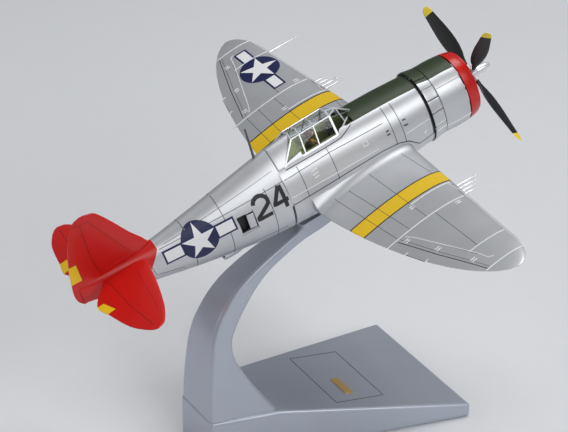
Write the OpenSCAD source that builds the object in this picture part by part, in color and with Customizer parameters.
// Display model of a single-seat piston fighter, 1:72, flying nose-up on a wedge stand.
// Row frame: +X forward, +Y port, +Z up, origin at the centre of the base underside.
// The aircraft is drawn in its own frame: origin at the propeller centre, +X along the
// thrust line, and then tipped nose-up onto the stand.

/* [Aircraft] */
// Wing span
wing_span = 172.6; // [168:0.2:176]
// Half span of the tailplane
tail_half_span = 34.1; // [33:0.1:35]
// Propeller tip radius
prop_radius = 27.3; // [25:0.1:28]
// Turn of the first propeller blade from port towards up, degrees
blade_angle = 34.6; // [0:0.1:90]
// Nose-up angle on the stand, degrees
nose_up = 17.6; // [16:0.1:19]
// Height of the propeller centre over the table
prop_height = 110.4; // [108:0.1:114]
// Distance of the propeller centre ahead of the base centre
prop_ahead = 58.8; // [56:0.1:60]

/* [Wing] */
// Place of the leading edge where the wing leaves the body
wing_lead_x = -31.3; // [-32:0.1:-30]
// Sweep of the leading edge, millimetres back per millimetre out
wing_sweep = 0.089; // [0.06:0.001:0.12]
// Height of the wing chord where it leaves the body
wing_root_z = -6.4; // [-7:0.1:-6]
// Dihedral, degrees
dihedral = 4; // [2:0.5:6]
// Wing incidence, degrees
incidence = 1.5; // [0:0.1:3]
// Tilt of the engine and propeller below the thrust line, degrees
engine_tilt = 3; // [0:0.5:3]

/* [Stand] */
// Half length of the base
base_half = 43.7; // [42:0.1:46]
// Half width of the base at its back
base_back_w = 10; // [9:0.1:12]
// Half width of the base at its front
base_front_w = 29; // [26:0.1:32]
// Height of the seat that the arm stands on
seat_z = 16; // [15:0.1:17]
// Height of the front edge of the base
front_z = 4.9; // [4.5:0.1:5.5]
// Front end of the seat
seat_front = -20.2; // [-21:0.1:-19]
// Wall of the base
base_wall = 1.8; // [1.5:0.1:2.2]

/* [Fits] */
// Radius of the propeller shaft
shaft_r = 0.75; // [0.6:0.05:0.9]
// Radial clearance of the shaft in its bore
shaft_play = 0.05; // [0.03:0.01:0.08]
// Gap round a plug that pulls out
plug_gap = 0.3; // [0.25:0.05:0.4]
// Gap between fixed pieces
seam = 0.05; // [0.03:0.01:0.1]

/* [Hidden] */

body_points = 36;
half_span = wing_span / 2;
root_y = 8;
tip_start = 74;
wing_tip_x = -44.2;

// Body stations: x, half width, top, bottom, height of the widest point,
// exponent of the upper half, exponent of the lower half
front_body = [[-22.2, 9.6, 11.6, -12.2, -0.6, 2.2, 2.2],
              [-34, 10.2, 12.4, -13, -0.5, 2.2, 2.2],
              [-48, 10.2, 12.9, -13.4, -0.5, 2.2, 2.3],
              [-62, 9.9, 13, -13.4, -0.4, 2.2, 2.3],
              [-75.3, 9.4, 13, -12.9, -0.2, 2.2, 2.2]];
rear_body = [[-66, 9.8, 17.2, -13.2, -0.3, 1.5, 2.2],
             [-75.3, 9.4, 16.4, -12.9, -0.2, 1.55, 2.2],
             [-86, 8.7, 14.5, -12, 0.1, 1.6, 2.1],
             [-97, 7.5, 12.5, -10.2, 0.5, 1.7, 2],
             [-108, 6.2, 10.6, -7.9, 1, 1.8, 2],
             [-120, 4.5, 9, -5, 1.8, 1.9, 2],
             [-132, 2.9, 8.6, -2.1, 2.8, 2, 2],
             [-146, 0.8, 8, 1.6, 4.4, 2, 2]];
// Cowl stations: x, half width, top, bottom
cowl_line = [[-3, 7.9, 8.8, -10.6],
             [-3.5, 8.6, 9.7, -11.5],
             [-5, 9.3, 10.5, -12.3],
             [-7.8, 9.75, 11, -12.7],
             [-12.5, 10, 11.5, -12.7],
             [-17.7, 9.95, 11.7, -12.3],
             [-22, 10.5, 12.5, -12.75]];
cowl_power = 2.15;
cowl_wall = 0.7;
// Parting line between the body casting and the wing casting, x and z along the side
parting = [[-22, -5.7], [-28.5, -6.2], [-30.4, -4.2], [-32.4, -2.2], [-36, -0.8], [-42, -0.2],
           [-53, -0.3], [-76, -0.9]];
canopy_back = -75.3;
canopy_sill = 10.9;
sill_back = -72.8;

// Cockpit: the opening cut down through the body, and the tub that lines it
cockpit_back = -72;
cockpit_long = 26;
cockpit_half = 4.4;
tub_gap = 0.1;
tub_wall = 0.6;
tub_floor = 0.7;
tub_top = 10.7;
seat_x = -62.7;
panel_x = -52.2;
// Side opening near the tail for the hinged door: back end, length, low edge, height
door_back = -93.4;
door_long = 5.3;
door_low = -1.2;
door_high = 5.6;
// Pocket in the body for the tongue of each tailplane: back end, length, height, reach
tongue_back = -131;
tongue_long = 5;
tongue_high = 1.2;
tongue_reach = 4;

fin_lead = [[1.3, -144], [3, -141], [6.5, -130], [8.5, -121], [10.8, -121], [16, -124.5],
            [23.2, -128.7], [27.4, -131.4], [29.3, -133.2], [30.2, -136]];
fin_trail = [[1.3, -146], [3, -147.4], [5.6, -148], [9.8, -147.5], [15.6, -146.4],
             [24.4, -143.4], [28.3, -140.9], [29.6, -139.6], [30.2, -137.6]];
tail_lead = [[0, -122.6], [5, -124], [15, -126.5], [26, -130], [31, -132.4],
             [33.4, -134.2], [34.1, -136]];
tail_trail = [[0, -136.8], [1, -137.6], [10.8, -145.3], [17, -144.4], [26.3, -142.4],
              [31, -140], [33.4, -138], [34.1, -136.6]];
tail_z = 6.3;

// Arm stations: back x, back z, front x, front z, half width at the back and the front
arm_line = [[-43.4, 16, -21, 16, 9.9, 13.3],
            [-43.2, 23, -25.7, 22.5, 9.6, 11.6],
            [-42.7, 30, -30.4, 30, 9.2, 10.2],
            [-42.1, 37, -33.8, 37, 8.6, 9.2],
            [-40.9, 44.2, -34, 43.4, 7.6, 8.2],
            [-38.6, 50, -31.4, 48.4, 6.8, 7.2],
            [-35.2, 55.2, -28, 53.6, 6.4, 6.7],
            [-31.2, 59.5, -23.9, 58.6, 5.9, 6.1],
            [-26, 63.4, -18.6, 63.2, 5.4, 5.5],
            [-20.6, 66.6, -12.4, 66.7, 4.9, 4.9],
            [-14.6, 69.6, -5.6, 70, 4.4, 4.4],
            [-9, 72.6, 1.6, 72.4, 4.2, 4.2],
            [-7.2, 74, 6.6, 75.2, 4.2, 4.2],
            [-6.6, 75.1, 8.6, 79.9, 4.2, 4.2]];
arm_round = 1.3;
peg_front = -60;
peg_back = -66;
peg_half = 1.6;
peg_top = -9.6;
socket_floor = 5;

// Cubic value of column c at key x in a table whose first column falls or rises steadily
function step_of(T, x, i = 0) =
    (i >= len(T) - 2 || (x - T[i + 1][0]) * (T[1][0] - T[0][0]) <= 0)
        ? i : step_of(T, x, i + 1);
function slope_of(T, i, c) =
    let (a = max(i - 1, 0), b = min(i + 1, len(T) - 1))
    (T[b][c] - T[a][c]) / (T[b][0] - T[a][0]);
function smooth_at(T, x, c) =
    let (i = step_of(T, x), h = T[i + 1][0] - T[i][0], s = (x - T[i][0]) / h,
         m0 = slope_of(T, i, c) * h, m1 = slope_of(T, i + 1, c) * h)
    (2 * s * s * s - 3 * s * s + 1) * T[i][c] + (s * s * s - 2 * s * s + s) * m0
    + (3 * s * s - 2 * s * s * s) * T[i + 1][c] + (s * s * s - s * s) * m1;
function signed_power(v, p) = sign(v) * pow(abs(v), p);

// One closed ring of the body at x, inset by a wall thickness
function body_ring(T, x, inset = 0, count = body_points) =
    let (w = smooth_at(T, x, 1) - inset, top = smooth_at(T, x, 2) - inset,
         low = smooth_at(T, x, 3) + inset, mid = smooth_at(T, x, 4),
         up = smooth_at(T, x, 5), down = smooth_at(T, x, 6))
    [for (k = [0:count - 1])
        let (a = 360 * k / count, p = sin(a) >= 0 ? up : down,
             h = sin(a) >= 0 ? top - mid : mid - low)
        [x, w * signed_power(cos(a), 2 / p), mid + h * signed_power(sin(a), 2 / p)]];
function cowl_ring(x, inset = 0, shift = 0) =
    let (w = smooth_at(cowl_line, x, 1) - inset, top = smooth_at(cowl_line, x, 2) - inset,
         low = smooth_at(cowl_line, x, 3) + inset, mid = (top + low) / 2)
    [for (k = [0:body_points - 1])
        let (a = 360 * k / body_points)
        [x + shift, w * signed_power(cos(a), 2 / cowl_power),
         mid + (top - low) / 2 * signed_power(sin(a), 2 / cowl_power)]];
function spread(from, to, count) = [for (i = [0:count]) from + (to - from) * i / count];

// Closed skin over rings of equal length; each ring runs anticlockwise as seen from
// outside the first ring. A hoop joins the last ring back to the first.
module loft(rings, hoop = false) {
    n = len(rings[0]);
    m = len(rings);
    last = hoop ? m - 1 : m - 2;
    sides = [for (i = [0:last], k = [0:n - 1], half = [0, 1])
        let (j = (k + 1) % n, a = i * n, b = ((i + 1) % m) * n)
        half == 0 ? [a + k, a + j, b + j] : [a + k, b + j, b + k]];
    caps = hoop ? [] : [[for (k = [n - 1:-1:0]) k], [for (k = [0:n - 1]) (m - 1) * n + k]];
    polyhedron(points = [for (ring = rings, p = ring) p], faces = concat(sides, caps));
}

// Height of the parting line at x; lookup wants rising keys
function parting_at(x) = lookup(-x, [for (p = parting) [-p[0], p[1]]]);

// Thickness of a wing section at chord fraction c for a total thickness t
function half_thick(c, t) =
    5 * t * (0.2969 * sqrt(c) - 0.126 * c - 0.3516 * c * c + 0.2843 * c * c * c
             - 0.1036 * c * c * c * c) + 0.004 * c;
function camber(c, m) = 4 * m * c * (1 - c);

function chord_z(y) = wing_root_z + tan(dihedral) * (y - root_y);
function tip_part(y) = max(0, (y - tip_start) / (half_span - tip_start));
function wing_lead(y) =
    let (line = wing_lead_x - wing_sweep * (y - root_y), s = min(1, tip_part(y)))
    line - (wing_lead_x - wing_sweep * (half_span - root_y) - wing_tip_x)
           * (1 - sqrt(1 - s * s));
function wing_trail(y) =
    let (u = min(1, y / half_span)) wing_tip_x - 25.2 * pow(1 - u * u, 0.58);
// A point of the wing's skin; side is 1 above and -1 below. Towards the body the upper
// skin rises into the root fairing, up to just under the parting line.
function wing_point(y, c, side) =
    let (out = abs(y), lead = wing_lead(out), chord = lead - wing_trail(out),
         t = 0.14 - 0.05 * out / half_span,
         rise = camber(c, 0.015) + side * half_thick(c, t),
         fill = pow(max(0, 1 - max(0, out - 9.2) / 5), 2.6),
         rim = parting_at(lead - c * chord) - 0.45,
         z0 = chord_z(out) + chord * rise - (c - 0.4) * chord * sin(incidence),
         z1 = side > 0 || c > 0.999 ? max(z0, z0 + (rim - z0) * fill) : z0)
    [lead - c * chord, y, z1];
function wing_ring(y, n = 11) = concat(
    [for (i = [0:n]) wing_point(y, 0.5 + 0.5 * cos(180 * i / n), -1)],
    [for (i = [1:n - 1]) wing_point(y, 0.5 - 0.5 * cos(180 * i / n), 1)],
    [wing_point(y, 1, 1) + [0, 0, 0.25]]);

module aircraft() {
    translate([prop_ahead, 0, prop_height]) rotate([0, -nose_up, 0]) children();
}
// Frame of the engine: the thrust line, tilted down about the propeller centre
module engine_frame() { aircraft() rotate([0, engine_tilt, 0]) children(); }
module port_and_starboard() {
    children();
    mirror([0, 1, 0]) children();
}
// A rod along the thrust line from one x to another
module rod(from, to, r) {
    translate([to, 0, 0]) rotate([0, 90, 0]) cylinder(h = from - to, r = r, $fn = 48);
}

/* Stand */
module base_plan(inset, height) {
    back = base_back_w - inset;
    front = base_front_w - inset;
    linear_extrude(height) polygon([[-base_half + inset, -back], [base_half - inset, -front],
                                    [base_half - inset, front], [-base_half + inset, back]]);
}
module base_side(inset, low) {
    rotate([90, 0, 0]) linear_extrude(80, center = true)
        polygon([[-base_half, low], [base_half, low], [base_half, front_z - inset],
                 [seat_front, seat_z - inset], [-base_half, seat_z - inset]]);
}
module foot_plug(gap, low) {
    back = base_back_w - 3 + gap;
    front = 10.5 + gap;
    translate([0, 0, low]) linear_extrude(seat_z + 1 - low)
        polygon([[-40.5 - gap, -back], [-24.5 + gap, -front], [-24.5 + gap, front],
                 [-40.5 - gap, back]]);
}
screw_places = [[-36.5, 0], [4, 0], [35, -20], [35, 20]];
module base_shell() {
    color("silver") difference() {
        union() {
            difference() {
                intersection() { base_plan(0, 30); base_side(0, 0); }
                intersection() { base_plan(base_wall, 30); base_side(base_wall, -1); }
            }
            intersection() {
                base_plan(0.5, 30);
                base_side(0.5, 0);
                union() {
                    foot_plug(1.6, socket_floor - 1.4);
                    for (p = [screw_places[1], screw_places[2], screw_places[3]])
                        translate([p[0], p[1], 1.6]) cylinder(h = 20, r = 2.2, $fn = 48);
                    translate([screw_places[0][0], 0, 1.6]) cylinder(h = 4, r = 2.2, $fn = 48);
                }
            }
        }
        foot_plug(plug_gap, socket_floor);
        for (p = screw_places)
            translate([p[0], p[1], 0]) cylinder(h = 4.2, r = 0.9, $fn = 48);
    }
}
module base_floor() {
    color("gray") difference() {
        base_plan(base_wall + seam, 1.5);
        for (p = screw_places) translate([p[0], p[1], 0]) {
            translate([0, 0, -1]) cylinder(h = 4, r = 1.1, $fn = 48);
            translate([0, 0, -1]) cylinder(h = 1.9, r = 1.9, $fn = 48);
        }
    }
}
module base_screws() {
    color("dimgray") for (p = screw_places) translate([p[0], p[1], 0.1]) {
        cylinder(h = 0.8, r = 1.8, $fn = 48);
        cylinder(h = 3.6, r = 0.85, $fn = 48);
    }
}
// The plaque's nearest corner down the sloping face from the seat, and its size
plaque_place = [26.5, -11.2, 0];
plaque_size = [2.9, 9.6, 0.5];
module base_plaque() {
    slope = atan((seat_z - front_z) / (base_half - seat_front));
    color("gold") translate([seat_front, 0, seat_z]) rotate([0, slope, 0])
        translate(plaque_place) cube(plaque_size);
}
function rounded(a, b, wa, wb, r, n = 4) = let (d = (b - a) / norm(b - a)) [
    for (i = [0:n]) [a[0], 0, a[1]] + [d[0], 0, d[1]] * r * (1 - cos(90 * i / n))
                    + [0, wa - r + r * sin(90 * i / n), 0],
    for (i = [n:-1:0]) [b[0], 0, b[1]] - [d[0], 0, d[1]] * r * (1 - cos(90 * i / n))
                       + [0, wb - r + r * sin(90 * i / n), 0],
    for (i = [0:n]) [b[0], 0, b[1]] - [d[0], 0, d[1]] * r * (1 - cos(90 * i / n))
                    - [0, wb - r + r * sin(90 * i / n), 0],
    for (i = [n:-1:0]) [a[0], 0, a[1]] + [d[0], 0, d[1]] * r * (1 - cos(90 * i / n))
                       - [0, wa - r + r * sin(90 * i / n), 0]];
module stand_arm() {
    color("silver") union() {
        loft([for (s = arm_line) rounded([s[0], s[1]], [s[2], s[3]], s[4], s[5], arm_round)]);
        foot_plug(0, socket_floor + 0.2);
        aircraft() translate([peg_back, -peg_half, -15])
            cube([peg_front - peg_back, 2 * peg_half, peg_top + 15]);
    }
}

/* Castings */
// Everything below the parting line, grown or shrunk by a gap
module belly_zone(gap) {
    rotate([90, 0, 0]) linear_extrude(60, center = true)
        polygon(concat([for (p = parting) [p[0], p[1] + gap]],
                       [[-76 - gap, -0.9 + gap], [-76 - gap, -40], [-21, -40],
                        [-21, -5.7 + gap]]));
}
module body_hull() {
    union() {
        loft([for (x = concat(spread(-22.2, -75.2, 13))) body_ring(front_body, x)]);
        loft([for (x = concat([-75.2], spread(-77, -146, 20))) body_ring(rear_body, x)]);
    }
}
function fin_ring(z, n = 8) =
    let (lead = lookup(z, fin_lead), chord = lead - lookup(z, fin_trail), t = 0.085)
    concat([for (i = [0:n]) let (c = 0.5 + 0.5 * cos(180 * i / n))
                [lead - c * chord, chord * half_thick(c, t) + 0.12 * c, z]],
           [for (i = [1:n]) let (c = 0.5 - 0.5 * cos(180 * i / n))
                [lead - c * chord, -chord * half_thick(c, t) - 0.12 * c, z]]);
module canopy_block(grow) {
    w = 5.75 + grow;
    r = 2.85 + grow;
    hull() for (p = [[-43.8 + grow, 0, 12.5], [-48.8 + grow, 0, 16.6], [-52.4, 0, 17.5 + grow],
                     [-52.8, w, canopy_sill], [-52.8, -w, canopy_sill],
                     [-52.6, r, 17 + grow], [-52.6, -r, 17 + grow],
                     [-66.5 - grow, 0, 17.4 + grow], [-66.9 - grow, r, 16.8 + grow],
                     [-66.9 - grow, -r, 16.8 + grow], [sill_back - grow, w, canopy_sill],
                     [sill_back - grow, -w, canopy_sill]])
        translate(p) cube(0.02, center = true);
}
module cockpit_box(inset, low, high) {
    translate([cockpit_back + inset, inset - cockpit_half, low])
        cube([cockpit_long - 2 * inset, 2 * (cockpit_half - inset), high - low]);
}
// Bosses for the two screws: x, and height of the top
bosses = [[-40, 11.7], [-73.5, 8]];
module casting_bosses() {
    for (b = bosses) translate([b[0], 0, parting_at(b[0])])
        cylinder(h = b[1] - parting_at(b[0]), r = 2.2, $fn = 48);
}
module fuselage_casting() {
    color("gainsboro") aircraft() difference() {
        union() {
            difference() {
                body_hull();
                loft([for (x = spread(-21, -72, 6)) body_ring(front_body, x, 1.5, 20)]);
                belly_zone(0);
                translate([canopy_back - seam, -8, canopy_sill - seam]) cube([22.5, 16, 12]);
            }
            loft([for (z = [1.3, 2, 3, 4.3, 5.6, 8, 11, 14, 17, 20, 23, 25.5, 27.4, 28.6,
                            29.4, 29.9, 30.2]) fin_ring(z)]);
            casting_bosses();
        }
        canopy_block(seam);
        cockpit_box(0, 0, 20);
        for (b = bosses) translate([b[0], 0, -2]) cylinder(h = 8, r = 0.8, $fn = 48);
        port_and_starboard() {
            translate([door_back, 7.2, door_low]) cube([door_long, 4, door_high]);
            translate([tongue_back, 0.8, tail_z - tongue_high / 2])
                cube([tongue_long, tongue_reach + 1, tongue_high]);
        }
    }
}
wing_steps = [5, 9.7, 10.6, 11.8, 13.5, 18, 26, 36, 46, 56, 66, 73, 78, 81.4, 83.6, 85, 85.9,
              86.25];
wing_stations = concat([for (i = [len(wing_steps) - 1:-1:0]) -wing_steps[i]], wing_steps);
module wing_casting() {
    color("lightgray") aircraft() difference() {
        union() {
            intersection() {
                loft([for (x = spread(-22.3, -75.3, 13)) body_ring(front_body, x)]);
                belly_zone(-seam);
            }
            loft([for (y = wing_stations) wing_ring(y)]);
        }
        translate([peg_back - plug_gap, -peg_half - plug_gap, -20])
            cube([peg_front - peg_back + 2 * plug_gap, 2 * (peg_half + plug_gap), 11]);
        for (b = bosses) translate([b[0], 0, -20]) {
            cylinder(h = 22, r = 1, $fn = 48);
            cylinder(h = 9.5, r = 2, $fn = 48);
        }
    }
}
module belly_screws() {
    color("dimgray") aircraft() for (b = bosses) translate([b[0], 0, -10.5]) {
        translate([0, 0, -1.2]) cylinder(h = 1.2, r = 1.8, $fn = 48);
        cylinder(h = 15, r = 0.75, $fn = 48);
    }
}
function tail_ring(y, n = 8) =
    let (lead = lookup(y, tail_lead), chord = lead - lookup(y, tail_trail), t = 0.09,
         out = y * tail_half_span / tail_lead[len(tail_lead) - 1][0])
    concat([for (i = [0:n]) let (c = 0.5 + 0.5 * cos(180 * i / n))
                [lead - c * chord, out, tail_z - chord * half_thick(c, t) - 0.12 * c]],
           [for (i = [1:n]) let (c = 0.5 - 0.5 * cos(180 * i / n))
                [lead - c * chord, out, tail_z + chord * half_thick(c, t) + 0.12 * c]]);
// The tongue that plugs a tailplane into the body, inset from its pocket's ends
module tongue(inset, extra) {
    translate([tongue_back + inset, 0.8 + inset, tail_z - tongue_high / 2 + 0.1])
        cube([tongue_long - 2 * inset, tongue_reach + extra, tongue_high - 0.2]);
}
module tailplane() {
    difference() {
        union() {
            loft([for (y = [1, 3, 7, 10.8, 14, 20, 26, 29.5, 31.6, 33, 33.8, 34.1]) tail_ring(y)]);
            tongue(0.2, 0);
        }
        difference() {
            loft([for (x = spread(-118, -147.5, 10)) body_ring(rear_body, x, -0.06)]);
            tongue(0.1, 2);
        }
        translate([-150, -5, 0]) cube([40, 5.9, 12]);
    }
}
module tailplane_port() { color("red") aircraft() tailplane(); }
module tailplane_starboard() { color("red") aircraft() mirror([0, 1, 0]) tailplane(); }

/* Engine and propeller */
module cowl_hoop(outer, inner) {
    loft(concat([for (s = outer) cowl_ring(s[0], s[1])],
                [for (s = inner) cowl_ring(s[0], s[1])]), hoop = true);
}
module nose_ring() {
    color("red") aircraft() cowl_hoop(
        [[-3, 0], [-3.5, 0], [-4.2, 0], [-5, 0], [-6.4, 0], [-7.7, 0]],
        [[-7.7, 0.75], [-6.4, 1], [-5, 1.2], [-3.8, 1], [-3.2, 0.5]]);
}
module cowling() {
    color("silver") aircraft() cowl_hoop(
        [[-7.85, 0], [-10, 0], [-12.5, 0], [-15, 0], [-17.5, 0]],
        [[-17.5, cowl_wall], [-12.5, cowl_wall], [-7.85, cowl_wall]]);
}
module cowl_flaps() {
    color("silver") aircraft() cowl_hoop(
        [[-17.65, 0], [-19, 0], [-20.5, 0], [-22.1, 0]],
        [[-22.1, 0.35], [-20.5, 0.6], [-17.65, 0.7]]);
}
crankcase_r = 2.9;
module engine_bulkhead() {
    color("dimgray") difference() {
        aircraft() loft([cowl_ring(-16, cowl_wall + 0.1), cowl_ring(-17.4, cowl_wall + 0.1)]);
        engine_frame() rod(-15, -19, crankcase_r + seam);
    }
}
module engine_crankcase() {
    color("slategray") engine_frame() difference() {
        rotate([0, 90, 0]) rotate_extrude($fn = 64)
            polygon([[0, -17.3], [crankcase_r, -17.3], [crankcase_r, -8.5], [2.6, -7],
                     [1.9, -5.4], [1.6, -3.6], [0, -3.6]]);
        rod(-3, -9, shaft_r + shaft_play);
        rod(-9, -15.5, crankcase_r - 0.8);
    }
}
cylinder_count = 9;
cylinder_x = -11.5;
fin_count = 6;
fin_pitch = 0.62;
fin_start = 0.9;
fin_thick = 0.32;
// Half outline of one finned cylinder, standing on the crankcase and widening outwards
finned = concat([[0, 0], [0.9, 0]],
    [for (k = [0:fin_count - 1])
        let (z = fin_start + k * fin_pitch, r = 0.32 * (crankcase_r + z), neck = 0.75 * r)
        each [[neck, z], [r, z], [r, z + fin_thick], [neck, z + fin_thick]]],
    [[1.6, 4.8], [0, 4.8]]);
module engine_cylinders() {
    color("dimgray") engine_frame() for (i = [0:cylinder_count - 1])
        rotate([i * 360 / cylinder_count + 10, 0, 0])
            translate([cylinder_x, 0, crankcase_r + seam])
                rotate_extrude($fn = 32) polygon(finned);
}
module prop_shaft() {
    color("silver") engine_frame() rod(shaft_front, -10.8, shaft_r);
}
module shaft_clip() {
    color("silver") engine_frame() difference() {
        rod(-9.15, -10.2, 1.6);
        rod(-9, -11, shaft_r);
    }
}
hub_r = 1.9;
hub_front = 1.5;
hub_back = -1.9;
shaft_front = -1.7;
socket_r = 0.7;
socket_start = 2.4;
module at_each_blade() {
    for (i = [0:3]) rotate([blade_angle + 90 * i, 0, 0]) children();
}
module prop_hub() {
    color("silver") engine_frame() difference() {
        union() {
            rod(hub_front, hub_back, hub_r);
            at_each_blade() rotate([-90, 0, 0])
                cylinder(h = 3.1, r = socket_r + 0.35, $fn = 32);
        }
        at_each_blade() translate([0, socket_start, 0]) rotate([-90, 0, 0])
            cylinder(h = 2, r = socket_r, $fn = 32);
        rod(shaft_front, -3, shaft_r);
    }
}
// Blade stations: radius, chord, thickness, pitch in degrees
blade_line = [[3.6, 1.3, 1.1, 60], [5.5, 2.1, 0.95, 59], [8, 3.7, 0.8, 58],
              [11, 4.7, 0.65, 56.5], [14.5, 4.95, 0.55, 54.5], [18, 4.6, 0.48, 52.5],
              [21.5, 3.9, 0.42, 51], [24.4, 3.3, 0.36, 50], [26, 2.8, 0.3, 49],
              [26.9, 2, 0.25, 48], [27.3, 1, 0.2, 47]];
// A blade section: its leading edge turns up and forward by the pitch
function blade_ring(s, n = 12) = [for (k = [0:n - 1])
    let (a = -360 * k / n, u = s[1] / 2 * cos(a), v = s[2] / 2 * sin(a))
    [u * sin(s[3]) + v * cos(s[3]), s[0] * prop_radius / blade_line[len(blade_line) - 1][0],
     u * cos(s[3]) - v * sin(s[3])]];
module prop_blades() {
    color([0.08, 0.08, 0.09]) engine_frame() at_each_blade() union() {
        loft([for (s = blade_line) blade_ring(s)]);
        translate([0, socket_start + 0.1, 0]) rotate([-90, 0, 0])
            cylinder(h = 1.4, r = socket_r - 0.1, $fn = 32);
    }
}
module prop_dome() {
    color("white") engine_frame() rotate([0, 90, 0]) rotate_extrude($fn = 64)
        polygon([[0, hub_front], [1.5, hub_front], [1.5, 2.6], [1.4, 4.2], [1.2, 5.6],
                 [0.75, 6.6], [0, 7]]);
}

/* Cockpit */
module canopy_glass() {
    color([0.8, 0.9, 0.95, 0.4]) aircraft() difference() {
        canopy_block(0);
        translate([0, 0, -0.6]) canopy_block(-0.5);
        translate([-71, -4.9, canopy_sill - 1]) cube([18, 9.8, 2]);
    }
}
module canopy_fairing() {
    color("gainsboro") aircraft() difference() {
        intersection() {
            loft([for (x = spread(-66, canopy_back + seam, 4)) body_ring(rear_body, x)]);
            translate([canopy_back, -8, canopy_sill]) cube([10, 16, 12]);
        }
        canopy_block(seam);
    }
}
module cockpit_tub() {
    color("olivedrab") aircraft() difference() {
        cockpit_box(tub_gap, tub_gap, tub_top);
        cockpit_box(tub_gap + tub_wall, tub_floor, tub_top + 1);
    }
}
module pilot_seat() {
    color("olivedrab") aircraft() difference() {
        translate([seat_x, -2.6, tub_floor + 0.02]) cube([6, 5.2, 5.1]);
        translate([seat_x + 0.8, -2, 2.6]) cube([7, 4, 7]);
    }
}
module headrest_plate() {
    color("olivedrab") aircraft() hull() {
        translate([seat_x - 0.9, -2.6, tub_floor + seam]) cube([0.7, 5.2, 7]);
        translate([seat_x - 0.9, -1.3, 11]) cube([0.7, 2.6, 3]);
    }
}
// Shelf behind the seat, on top of the tub
module rear_deck() {
    deck_x = cockpit_back + 0.9;
    color("olivedrab") aircraft() translate([deck_x, -4.1, tub_top + seam])
        cube([seat_x - 1 - deck_x, 8.2, 0.5]);
}
module instrument_panel() {
    color([0.1, 0.1, 0.1]) aircraft() translate([panel_x, -3.6, 5.5]) cube([0.8, 7.2, 5.2]);
}
module gunsight() {
    color([0.1, 0.1, 0.1]) aircraft() {
        translate([panel_x - 0.4, -0.6, tub_top + seam]) cube([1.6, 1.2, 1.6]);
        translate([panel_x + 0.1, -0.5, tub_top + seam + 1.6]) cube([0.2, 1, 1.2]);
    }
}
module limb(from, from_r, to, to_r) {
    hull() {
        translate(from) sphere(r = from_r, $fn = 16);
        translate(to) sphere(r = to_r, $fn = 16);
    }
}
module pilot_figure() {
    color("peru") aircraft() translate([seat_x + 2.6, 0, 0.5]) union() {
        hull() {
            translate([0, 0, 4.6]) scale([0.9, 1.1, 1]) sphere(r = 1.7, $fn = 24);
            translate([0, 0, 9.8]) scale([0.7, 1.5, 0.6]) sphere(r = 1.9, $fn = 24);
        }
        translate([0.4, 0, 12.3]) sphere(r = 1.75, $fn = 24);
        for (s = [-1, 1]) {
            limb([0.8, s * 1.1, 3.8], 0.85, [6, s * 1.4, 4.6], 0.8);
            limb([0.2, s * 2.4, 9.4], 0.75, [3.8, s * 1.6, 6.6], 0.65);
        }
    }
}

/* Small parts */
// Gun barrels: distance out along the wing, and x of the muzzle
gun_places = [[38.4, -26.9], [40.3, -28.3], [42.2, -29.9], [44, -31.4]];
gun_r = 0.36;
gun_root = 2.5;
module guns() {
    for (g = gun_places) translate([g[1], g[0], chord_z(g[0]) + 0.1]) rotate([0, -90, 0])
        cylinder(h = g[1] - wing_lead(g[0]) + gun_root, r = gun_r, $fn = 24);
}
module guns_port() { color("silver") aircraft() guns(); }
module guns_starboard() { color("silver") aircraft() mirror([0, 1, 0]) guns(); }
pitot_y = 69.7;
pitot_tip_x = -25.7;
pitot_root = 2;
pitot_step = 5.5;
module pitot_tube() {
    lead = wing_lead(pitot_y);
    color("silver") aircraft() translate([lead, pitot_y, chord_z(pitot_y)]) rotate([0, 90, 0]) {
        translate([0, 0, -pitot_root]) cylinder(h = pitot_root + pitot_step, r = 0.35, $fn = 24);
        translate([0, 0, pitot_step])
            cylinder(h = pitot_tip_x - lead - pitot_step, r = 0.24, $fn = 24);
    }
}
mast_x = -79.3;
mast_foot = 14.2;
mast_top = 27;
module mast_end(x, z, r) {
    translate([x, 0, z]) scale([2, 1, 1]) cylinder(h = 0.1, r = r, $fn = 24);
}
module antenna_mast() {
    color("dimgray") aircraft() hull() {
        mast_end(mast_x, mast_foot, 0.24);
        mast_end(mast_x + 0.3, mast_top, 0.14);
    }
}
module turbo_hood() {
    color("silver") aircraft() difference() {
        hull() {
            translate([-90, 0, -9.9]) scale([1.2, 1, 1]) sphere(r = 2.2, $fn = 24);
            translate([-99.8, 0, -8.9]) rotate([0, 90, 0]) cylinder(h = 1, r = 3, $fn = 32);
        }
        loft([for (x = spread(-84, -104, 6)) body_ring(rear_body, x, -0.03)]);
        translate([-102, 0, -8.9]) rotate([0, 90, 0]) cylinder(h = 5, r = 2.5, $fn = 32);
    }
}
// A flat door hinged at the front of its opening, its rear edge swung a little inwards
door_swing = 14;
door_panel = 2.4;
module intercooler_door() {
    translate([door_back + door_long - 0.1, 8.2, door_low + 0.1]) rotate([0, 0, door_swing])
        translate([-door_panel - 0.1, -0.2, 0]) cube([door_panel, 0.4, door_high - 0.2]);
}
module intercooler_door_port() { color("silver") aircraft() intercooler_door(); }
module intercooler_door_starboard() {
    color("silver") aircraft() mirror([0, 1, 0]) intercooler_door();
}

base_shell();
base_floor();
base_screws();
base_plaque();
stand_arm();
fuselage_casting();
wing_casting();
belly_screws();
tailplane_port();
tailplane_starboard();
cowling();
nose_ring();
cowl_flaps();
engine_bulkhead();
engine_crankcase();
engine_cylinders();
prop_shaft();
prop_hub();
prop_blades();
prop_dome();
shaft_clip();
canopy_glass();
canopy_fairing();
cockpit_tub();
pilot_seat();
headrest_plate();
rear_deck();
instrument_panel();
gunsight();
pilot_figure();
guns_port();
guns_starboard();
pitot_tube();
antenna_mast();
turbo_hood();
intercooler_door_port();
intercooler_door_starboard();
